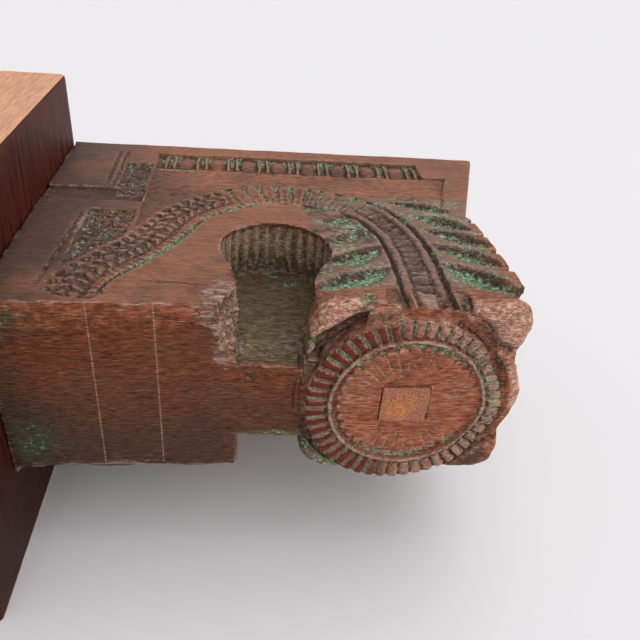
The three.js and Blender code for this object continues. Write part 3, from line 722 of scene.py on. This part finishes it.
# The scoop's wall is paler on the flutes' ridges and towards its mouth: partly pale wood, partly painted
# light
scoop_wall_tan_and_light = (on_wall & in_scoop) * (1 - 0.8 * step(16, 38, wall_down)) * step(1, 7, wall_down)
scoop_wall_tan_and_light *= 0.45 + 0.9 * abs(2 * flute - 1) ** 1.5 + 0.35 * noise(points, (20, 20, 20), 99)

# Worn and pale wood; on the rim's right-hand lobes the paleness is partly painted light
corner_leaf = step(250, 257, d) * step(bud_start - 3, bud_start + 2, x) * (1 - face)
collar_band = bell(disc_out - disc_radius - 4, 6)
pale_leaf = corner_leaf * (1 - 0.8 * collar_band) * (s < 10) * varied(0.85, 0.4, (16, 9, 9), 88)
foot = step(0.92, 0.97, d / arm_height) * fall(8, 30, abs(x - spine_foot)) * (abs(s) > 50)
leftward = 1 - step(-0.5, 0.1, np.cos(ring_turn))
lobes_here = face * step(53, 55, ring_out) * (1 - cut)
under = step(0.5, 0.8, normal[:, 2]) * (d > arm_height - 6) * (x < 200)
wear_and_light = break_near * 0.4
for worn_part in (
    corner_leaf * varied(0.55, 0.5, 18, 90) * (s < 20),
    foot * 0.95,
    drawn * (d < plate_height) * 0.3 * step(348, 354, x + plate_lean * d),
    # The rim's right-hand lobes are paler: partly wear, partly painted light
    lobes_here * (1 - leftward) * varied(0.75, 0.45, 30, 91),
    face * in_dish * varied(0.85, 0.45, 26, 92),
    step(318, 332, x) * step(135, 142, d) * varied(0.7, 0.4, (9, 9, 7), 93),
    under * fall(-68, -38, s) * varied(0.58, 0.3, (30, 8, 8), 89),
):
    wear_and_light = highest(wear_and_light, worn_part)

# Green paint that is left, and the pale dust in cuts; the pale raised ring is partly wear and partly
# painted highlight, and the pale scoop wall partly painted light
stain = bell(x - 8, 22) * bell(s + 58, 12)
stain += 0.9 * bell(x - 18, 14) * bell(s - 40, 22)
stain *= (d > arm_height - 3) * varied(0.7, 0.5, (10, 6, 6), 94)
stain = limited(stain)
for green_part in (
    0.24 * stain,
    (scoop_shade > 0) * limited(noise(points, 15, 95) - 0.25) * 0.7,
    0.75 * leaf_groove * (x < 240) * (noise(points, 14, 96) > -0.5),
    corner_leaf * step(35, 50, s) * (x < 238) * varied(0.45, 0.6, 9, 87),
):
    green = highest(green, green_part)
rays = face * in_dish * limited(1.25 - ray / 0.85) * ray_part
pale_cuts_and_ring_highlight = highest(face * step(0.05, 0.3, cut) * (1 - (1 - leftward) * step(0.7, 0.95, cut)), rays)
# The raised ring is paler: partly wear, partly painted highlight
pale_cuts_and_ring_highlight = highest(pale_cuts_and_ring_highlight, face * step(0.5, 0.9, ring) * 0.8)
# Pale dust in recesses and at the break; the share from the scoop's wall is partly painted light
dust_and_painted_light = limited(recess * 0.8 + scoop_wall_tan_and_light * 0.8 + break_near * 0.5)

# Darkening: dirt in the carving, and darker colour beside the block, over the upper left, low on the
# underside and at the far corners
carved = 0.7 * drawn * step(0.9, 1.8, side_depth) + 0.5 * drawn * step(0.2, 0.8, broad + fine)
carved = limited(carved) * (1 - 0.85 * flat_ground)
near_block = np.exp(-x / 24) * varied(0.7, 0.5, (9, 14, 14), 97)
on_side = abs(normal[:, 1])
upper_left = fall(75, 150, x + 0.35 * abs(d - 100)) * step(0.5, 0.8, on_side)
low_under = 0.75 * under * step(-35, 60, s)
darkening = 0.85 * carved + 0.85 * near_block + 0.72 * upper_left + low_under * (1 - 0.6 * step(130, 160, x))
darkening += 0.35 * corner_leaf * step(20, 40, s)
darkening += 0.3 * noise(points, 45, 98) + 0.25 * noise(points, 14, 86) + 0.4 * collar_band * corner_leaf
darkening = limited(darkening * (1 - 0.8 * face))

peg_joint = on_face * (abs(x - peg_middle) < 19) * (abs(s) < 17)
masks = {
    "darkening": darkening,
    "pale_cuts_and_ring_highlight": pale_cuts_and_ring_highlight,
    "scoop_wall_tan_and_light": scoop_wall_tan_and_light,
    "green_paint": green,
    "pale_leaf": pale_leaf,
    "splintered": break_near,
    "red_lobes": lobes_here * leftward,
    "stained_green": stain,
    "scoop_pale": scoop_pale,
    "pale_wear_and_light": wear_and_light,
    "recess": recess * (1 - 0.5 * face * in_dish) * (1 - 0.75 * peg_joint),
    "ridge": ridge * (1 - 0.6 * lobes_here * leftward) * (1 - 0.6 * peg_joint),
    "painted_scoop_shade": scoop_shade,
    "dust_and_painted_light": dust_and_painted_light * (1 - 0.6 * face),
    "polished": drawn * (side_depth < 1.2) * limited(on_side) ** 0.7,
    "low_side": under * step(-30, 62, s),
    "weathered": drawn * step(196, 206, x) * between(100, 246, 6, d),
}
for name, values in masks.items():
    layer = arm_mesh.attributes.new(name, "FLOAT", "POINT")
    layer.data.foreach_set("value", limited(values).astype(np.float32))

arm_mesh.calc_loop_triangles()
change = corbel.modifiers.new("fewer", "DECIMATE")
change.ratio = most_triangles / len(arm_mesh.loop_triangles)
bake_modifiers(corbel)


def finish_shape(obj, node, points):
    """Keeps the points inside the CAD node's box, and shades the piece smooth."""
    set_points(obj.data, within(points, node))
    for polygon in obj.data.polygons:
        polygon.use_smooth = True


finish_shape(corbel, "corbel", points_of(corbel.data))


# Shader helpers. All of them add to `tree`, the node tree that is being built at the time.
def fill(socket, value):
    """Links the socket to another one, or sets its value."""
    if isinstance(value, bpy.types.NodeSocket):
        tree.links.new(value, socket)
    elif socket.type == "RGBA":
        socket.default_value = (*value, 1)
    else:
        socket.default_value = value


def add(kind, values=None, **inputs):
    """A node with its settings by name, and its sockets filled by number or by name."""
    node = tree.nodes.new("ShaderNode" + kind)
    for key, value in (values or {}).items():
        if isinstance(key, str):
            setattr(node, key, value)
        else:
            fill(node.inputs[key], value)
    for key, value in inputs.items():
        fill(node.inputs[key], value)
    return node


def math_node(operation, *values, clamp=False):
    settings = {"operation": operation, "use_clamp": clamp}
    return add("Math", {**settings, **dict(enumerate(values))}).outputs[0]


def times(first, second):
    return math_node("MULTIPLY", first, second, clamp=True)


def ranged(value, low, high):
    """The value stretched so that low becomes 0 and high becomes 1."""
    node = add("MapRange", Value=value)
    node.inputs["From Min"].default_value = low
    node.inputs["From Max"].default_value = high
    return node.outputs[0]


def mix(share, below, above, blend="MIX"):
    settings = {"data_type": "RGBA", "blend_type": blend}
    return add("Mix", {**settings, 0: share, 6: below, 7: above}).outputs[2]


def place_in():
    return add("TexCoord").outputs["Object"]


def vector_node(operation, first, second):
    return add("VectorMath", {"operation": operation, 0: first, 1: second}).outputs[0]


def noise_texture(place, scale, detail, rough, bent=0.0):
    values = {"Vector": place, "Scale": scale, "Detail": detail, "Roughness": rough, "Distortion": bent}
    return add("TexNoise", **values).outputs["Fac"]


def normal_parts():
    return add("SeparateXYZ", Vector=add("NewGeometry").outputs["Normal"]).outputs


def node_group(name, inputs, outputs):
    """An empty shader group with named sockets, and its two end nodes."""
    group = bpy.data.node_groups.new(name, "ShaderNodeTree")
    for label, kind, value in inputs:
        socket = group.interface.new_socket(label, in_out="INPUT", socket_type=kind)
        socket.default_value = value
    for label in outputs:
        group.interface.new_socket(label, in_out="OUTPUT", socket_type="NodeSocketFloat")
    return group, group.nodes.new("NodeGroupInput").outputs, group.nodes.new("NodeGroupOutput").inputs


def group_node(group, inputs):
    node = tree.nodes.new("ShaderNodeGroup")
    node.node_tree = group
    for key, value in inputs.items():
        fill(node.inputs[key], value)
    return node.outputs


def mask_of(name):
    return add("Attribute", {"attribute_name": name}).outputs["Fac"]


def flecks(name, size, broken):
    return group_node(flecked, {"Mask": mask_of(name), "Size": size, "Break": broken})[0]


def new_material(name):
    material = bpy.data.materials.new(name)
    material.use_nodes = True
    tree = material.node_tree
    tree.nodes.clear()
    shader = tree.nodes.new("ShaderNodeBsdfPrincipled")
    output = tree.nodes.new("ShaderNodeOutputMaterial")
    tree.links.new(shader.outputs[0], output.inputs[0])
    return material, tree, shader, output


def bumped(shader, height, strength, distance):
    bump = add("Bump", Height=height, Strength=strength, Distance=distance)
    fill(shader.inputs["Normal"], bump.outputs[0])


# Long streaks, short fibres and soft blotches of wood
scales = [("Scale", "NodeSocketVector", (1, 1, 1)), ("Fibre scale", "NodeSocketVector", (1, 1, 1))]
tree, given, results = node_group("wood grain", scales, ["Streaks", "Blotches", "Fibres"])
wood_grain = tree
place = place_in()
scaled = vector_node("MULTIPLY", place, given["Scale"])
finer = vector_node("MULTIPLY", vector_node("ADD", scaled, scaled), given["Fibre scale"])
for name, texture, low, high in (
    ("Streaks", noise_texture(scaled, 1.0, 5.0, 0.62, 0.3), 0.36, 0.64),
    ("Fibres", noise_texture(finer, 1.0, 4.0, 0.65, 0.6), 0.47, 0.66),
    ("Blotches", noise_texture(place, 28.0, 5.0, 0.65), 0.36, 0.64),
):
    fill(results[name], ranged(texture, low, high))

# A soft mask broken up by fine noise, so that paint and dirt end in flecks
settings = [("Mask", 0.0), ("Size", 400.0), ("Break", 0.6)]
settings = [(label, "NodeSocketFloat", value) for label, value in settings]
tree, given, results = node_group("flecked mask", settings, ["Mask"])
flecked = tree
specks = noise_texture(place_in(), given["Size"], 5.0, 0.7)
spread = math_node("MULTIPLY", math_node("SUBTRACT", specks, 0.5), given["Break"])
shifted = math_node("MULTIPLY_ADD", spread, 4.0, given["Mask"])
gate = ranged(given["Mask"], 0.02, 0.2)
fill(results["Mask"], math_node("MULTIPLY", ranged(shifted, 0.3, 0.75), gate))

side_brown = (0.38, 0.155, 0.085)
side_brown_dark = (0.19, 0.082, 0.052)
side_warm = (0.44, 0.165, 0.078)
side_mauve = (0.20, 0.115, 0.095)
red_brown = (0.215, 0.043, 0.0135)
red_brown_dark = (0.082, 0.021, 0.008)
pale_fibre = (0.40, 0.19, 0.085)
under_brown = (0.175, 0.068, 0.026)
raw_orange = (0.385, 0.102, 0.045)
raw_pink = (0.60, 0.32, 0.195)
raw_dark = (0.16, 0.045, 0.022)
leaf_tan = (0.62, 0.35, 0.24)
leaf_white = (0.80, 0.58, 0.45)
leaf_red = (0.40, 0.15, 0.085)
leaf_grey = (0.205, 0.175, 0.150)
lobe_red = (0.150, 0.024, 0.0100)
splinter_grey = (0.50, 0.39, 0.30)
splinter_red = (0.24, 0.060, 0.034)
low_brown = (0.062, 0.026, 0.012)
shade_green = (0.052, 0.088, 0.050)
floor_tan = (0.36, 0.275, 0.165)
edge_wear_and_highlight = (0.46, 0.325, 0.245)
darkening_brown = (0.066, 0.045, 0.037)
recess_dark = (0.026, 0.016, 0.010)
dust_tan = (0.52, 0.39, 0.28)
scoop_shade_olive = (0.125, 0.092, 0.050)
scoop_tan = (0.52, 0.34, 0.19)
paint_green = (0.125, 0.225, 0.115)
paint_pale = (0.47, 0.69, 0.44)

material, tree, shader, output = new_material("oiled carved timber")
place = place_in()
grain = group_node(wood_grain, {"Scale": (36, 560, 560), "Fibre scale": (1.3, 0.9, 0.9)})
streaks = grain["Streaks"]
fibres = grain["Fibres"]
blotches = grain["Blotches"]
specks = noise_texture(place, 520.0, 4.0, 0.7)
turned_to = normal_parts()
facing = ranged(math_node("ABSOLUTE", turned_to["Y"]), 0.35, 0.8)
patches = ranged(noise_texture(place, 75.0, 5.0, 0.7), 0.5, 0.68)
side_colour = mix(times(streaks, 0.6), side_brown, side_brown_dark)
side_colour = mix(times(blotches, 0.5), side_colour, side_warm)
side_colour = mix(times(patches, 0.6), side_colour, side_mauve)
under_colour = mix(streaks, red_brown_dark, red_brown)
under_colour = mix(times(fibres, 0.42), under_colour, pale_fibre)
under_colour = mix(times(blotches, 0.5), under_colour, under_brown)
colour = mix(facing, under_colour, side_colour)

raw = mix(times(fibres, 0.6), raw_orange, raw_pink)
raw = mix(times(ranged(streaks, 0.45, 0.1), 0.35), raw, raw_dark)
wavy = ranged(noise_texture(place, 150.0, 4.0, 0.6, 2.2), 0.34, 0.66)
leaf_colour = mix(ranged(wavy, 0.15, 0.6), leaf_red, leaf_tan)
leaf_colour = mix(ranged(wavy, 0.65, 0.95), leaf_colour, leaf_white)
splinter_colour = mix(ranged(fibres, 0.1, 0.6), splinter_red, splinter_grey)
paint_colour = mix(ranged(specks, 0.44, 0.66), paint_green, paint_pale)

# The coats over the bare wood, the lowest first: where each lies, how strong it is, and its colour
coats = [
    (mask_of("weathered"), 0.4, leaf_grey),
    (mask_of("darkening"), 0.8, darkening_brown),
    # Darker low on the underside
    (mask_of("low_side"), 0.6, low_brown),
    (mask_of("stained_green"), 0.8, shade_green),
    # Worn wood, partly painted light on the rim's right-hand lobes
    (flecks("pale_wear_and_light", 110.0, 0.5), 0.85, raw),
    (flecks("pale_leaf", 60.0, 0.5), 0.85, leaf_colour),
    (flecks("splintered", 150.0, 0.9), 0.55, splinter_colour),
    # Pale ridges: partly wear, partly painted highlight
    (flecks("ridge", 300.0, 0.4), 0.6, edge_wear_and_highlight),
    (mask_of("red_lobes"), 1.0, lobe_red),
    # Painted shade in the scoop
    (mask_of("painted_scoop_shade"), 0.92, scoop_shade_olive),
    (times(mask_of("scoop_pale"), fibres), 0.8, floor_tan),
    # Pale scoop wall: partly pale wood, partly painted light
    (flecks("scoop_wall_tan_and_light", 160.0, 0.6), 0.6, scoop_tan),
    # Painted shade in recesses, with the dark joint line at the block
    (math_node("POWER", mask_of("recess"), 0.75), 0.93, recess_dark),
    # Pale dust, partly painted light on the scoop's wall
    (flecks("dust_and_painted_light", 330.0, 0.9), 0.34, dust_tan),
    # Pale dust in cuts, and the ring's paleness as partly painted highlight
    (flecks("pale_cuts_and_ring_highlight", 300.0, 0.5), 0.48, dust_tan),
    (flecks("green_paint", 260.0, 0.8), 0.78, paint_colour),
]
for share, strength, coat in coats:
    colour = mix(times(share, strength), colour, coat)

# Two lines scribed across the underside of the seat, now full of pale dust
from_left = add("SeparateXYZ", Vector=place).outputs["X"]
downward = ranged(turned_to["Z"], -0.6, -0.9)
for scribed in scribed_lines:
    off = math_node("SUBTRACT", from_left, (arm_left + scribed) * MM)
    line = times(ranged(math_node("ABSOLUTE", off), 0.0007, 0.0002), downward)
    line = times(line, ranged(specks, 0.3, 0.55))
    colour = mix(times(line, 0.45), colour, dust_tan)

# Fine mottling over everything, along the grain
drawn_out = vector_node("MULTIPLY", place, (150, 1050, 1050))
mottled = ranged(noise_texture(drawn_out, 1.0, 3.0, 0.7), 0.34, 0.66)
polished = mask_of("polished")
contrast = math_node("SUBTRACT", 0.66, times(polished, 0.3))
colour = mix(contrast, colour, mottled, "OVERLAY")
fill(shader.inputs["Base Color"], colour)
fill(shader.inputs["Specular IOR Level"], 0.18)
rough = math_node("SUBTRACT", 0.60, times(streaks, 0.1))
rough = math_node("ADD", rough, times(mask_of("recess"), 0.3), clamp=True)
rough = math_node("SUBTRACT", rough, times(polished, 0.14), clamp=True)
fill(shader.inputs["Roughness"], rough)
height = math_node("ADD", streaks, times(fibres, 0.9))
height = math_node("ADD", height, math_node("MULTIPLY", specks, 1.2))
height = math_node("ADD", height, mottled)
bumped(shader, height, 0.6, 0.0007)
corbel.data.materials.clear()
corbel.data.materials.append(material)
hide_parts("corbel")
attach(corbel, "root")

# The square peg let into the disc: fresh orange wood, its grain across the disc's, flush and a little worn.
# It is browner towards its edges, where old oil has crept in from the joint.
peg_orange = (0.56, 0.19, 0.055)
peg_brown = (0.30, 0.10, 0.045)
peg_edge = (0.34, 0.125, 0.065)
peg_heart = (0.3165, -0.0055, 0)

peg = copy_of_node("disc_peg", "square_peg")
remesh(peg, 0.7)
points = points_of(peg.data)
peg_wear = limited(varied(0.25, 0.35, (9, 2.5, 2.5), 100))
finish_shape(peg, "disc_peg", points - normals_of(peg.data) * peg_wear[:, None])

material, tree, shader, output = new_material("orange peg wood")
place = place_in()
grain = group_node(wood_grain, {"Scale": (300, 70, 300), "Fibre scale": (1.0, 1.6, 1.0)})
from_heart = vector_node("SUBTRACT", place, peg_heart)
from_heart = vector_node("MULTIPLY", from_heart, (1, 1.15, 0))
far_out = add("VectorMath", {"operation": "LENGTH", 0: from_heart}).outputs["Value"]
far_out = math_node("MULTIPLY_ADD", grain["Blotches"], 0.004, far_out)
colour = mix(grain["Streaks"], peg_brown, peg_orange)
colour = mix(ranged(far_out, 0.0105, 0.0175), colour, peg_edge)
mottled = ranged(noise_texture(place, 850.0, 3.0, 0.7), 0.34, 0.66)
colour = mix(0.7, colour, mottled, "OVERLAY")
fill(shader.inputs["Base Color"], colour)
fill(shader.inputs["Roughness"], 0.7)
bumped(shader, grain["Streaks"], 0.6, 0.0005)
peg.data.materials.append(material)
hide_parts("disc_peg")
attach(peg, "root")

# The backing block: a sawn plank behind the arm, stained dark, its end grain left pale and rough.
# The arm is fixed square to its front face.
stained = (0.135, 0.026, 0.0105)
stain_and_shade_dark = (0.024, 0.0066, 0.0042)
sawn_tan = (0.82, 0.44, 0.27)
sawn_dark = (0.50, 0.24, 0.145)

block = copy_of_node("backing_block", "backing_plank")
remesh(block, 2.2)
points = points_of(block.data)
saw = 0.18 + 0.14 * noise(points, (8, 60, 5), 110) + 0.1 * noise(points, (50, 50, 50), 111)
rounded = relaxed(points, edges_of(block.data), 3)
finish_shape(block, "backing_block", rounded - normals_of(block.data) * limited(saw)[:, None])

material, tree, shader, output = new_material("stained plank")
place = place_in()
grain = group_node(wood_grain, {"Scale": (420, 22, 420), "Fibre scale": (0.8, 2.2, 0.8)})
sawn_end = math_node("GREATER_THAN", math_node("ABSOLUTE", normal_parts()["Y"]), 0.72)
face_colour = mix(grain["Streaks"], stain_and_shade_dark, stained)
# Painted shade: the plank's faces darken towards the table
shade_toward_table = ranged(add("SeparateXYZ", Vector=place).outputs["Y"], -0.09, 0.09)
face_colour = mix(times(shade_toward_table, 0.72), face_colour, stain_and_shade_dark)
end_colour = mix(times(grain["Blotches"], 0.35), sawn_tan, sawn_dark)
saw_marks = noise_texture(vector_node("MULTIPLY", place, (900, 500, 60)), 1.0, 4.0, 0.7)
end_colour = mix(ranged(saw_marks, 0.42, 0.7), end_colour, sawn_dark)
fill(shader.inputs["Base Color"], mix(sawn_end, face_colour, end_colour))
fill(shader.inputs["Specular IOR Level"], 0.12)
fill(shader.inputs["Roughness"], math_node("MULTIPLY_ADD", sawn_end, 0.3, 0.52))
bumped(shader, grain["Streaks"], 0.4, 0.0004)
block.data.materials.append(material)
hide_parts("backing_block")
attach(block, "root")

# The table that the corbel lies on in the photograph, as a pale plane against the block's far side. It
# shows from one side only, so that other views aren't blocked, and is open where the block hides it.
table_gap = 0.0005
table_reach = 6.0
table_middle = (0.2, 1.5)
hidden_margin = 0.004
block_low, block_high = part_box("backing_block")
table_place = block_high.y + table_gap
low = block_low + Vector((hidden_margin,) * 3)
high = block_high - Vector((hidden_margin,) * 3)
columns = (table_middle[0] - table_reach, low.x, high.x, table_middle[0] + table_reach)
rows = (table_middle[1] - table_reach, low.z, high.z, table_middle[1] + table_reach)
corners = [(column, table_place, row) for row in rows for column in columns]
cells = [(start, start + 1, start + 5, start + 4) for start in (0, 1, 2, 4, 6, 8, 9, 10)]
table_mesh = bpy.data.meshes.new("table")
table_mesh.from_pydata(corners, [], cells)
table = new_object("table", table_mesh)

material, tree, shader, output = new_material("pale table")
fill(shader.inputs["Base Color"], (0.86, 0.84, 0.84))
fill(shader.inputs["Roughness"], 0.8)
clear = tree.nodes.new("ShaderNodeBsdfTransparent")
either = tree.nodes.new("ShaderNodeMixShader")
seen_from = tree.nodes.new("ShaderNodeNewGeometry")
fill(either.inputs[0], seen_from.outputs["Backfacing"])
fill(either.inputs[1], shader.outputs[0])
fill(either.inputs[2], clear.outputs[0])
fill(output.inputs[0], either.outputs[0])
table_mesh.materials.append(material)


# Soft studio light: a wide lamp above the lying corbel, a wider one from the side of its underside and end,
# and pale light from all around
def far_lamp(name, toward, spread, strength):
    lamp = bpy.data.lights.new(name, "SUN")
    lamp.angle = math.radians(spread)
    lamp.energy = strength
    holder = new_object(name, lamp)
    holder.matrix_world = Vector(toward).to_track_quat("Z", "Y").to_matrix().to_4x4()


far_lamp("window", (0.22, -0.87, 0.32), 62, 1.09)
far_lamp("white wall", (0.50, -0.50, -0.71), 92, 1.36)
world = bpy.data.worlds.new("studio")
world.use_nodes = True
sky = world.node_tree.nodes["Background"]
sky.inputs["Color"].default_value = (0.93, 0.94, 1.0, 1)
sky.inputs["Strength"].default_value = 0.5
scene = bpy.context.scene
scene.world = world
scene.view_settings.view_transform = "Standard"
scene.view_settings.look = "None"

# The camera stands above the table on the side of the arm's underside, as in the photograph
camera_place = Vector((0.2133, -0.2878, -0.4288))
camera_back = Vector((-0.1153386, -0.55396602, -0.82451116)).normalized()
camera_up = Vector((-0.01893111, -0.82867408, 0.55941119))
camera_right = camera_up.cross(camera_back).normalized()
camera_up = camera_back.cross(camera_right)
camera_data = bpy.data.cameras.new("camera")
camera_data.sensor_width = 36
camera_data.lens = 36.98
camera_data.clip_start = 0.01
camera = new_object("camera", camera_data)
turned = Matrix((camera_right, camera_up, camera_back)).transposed().to_4x4()
camera.matrix_world = Matrix.Translation(camera_place) @ turned
scene.camera = camera
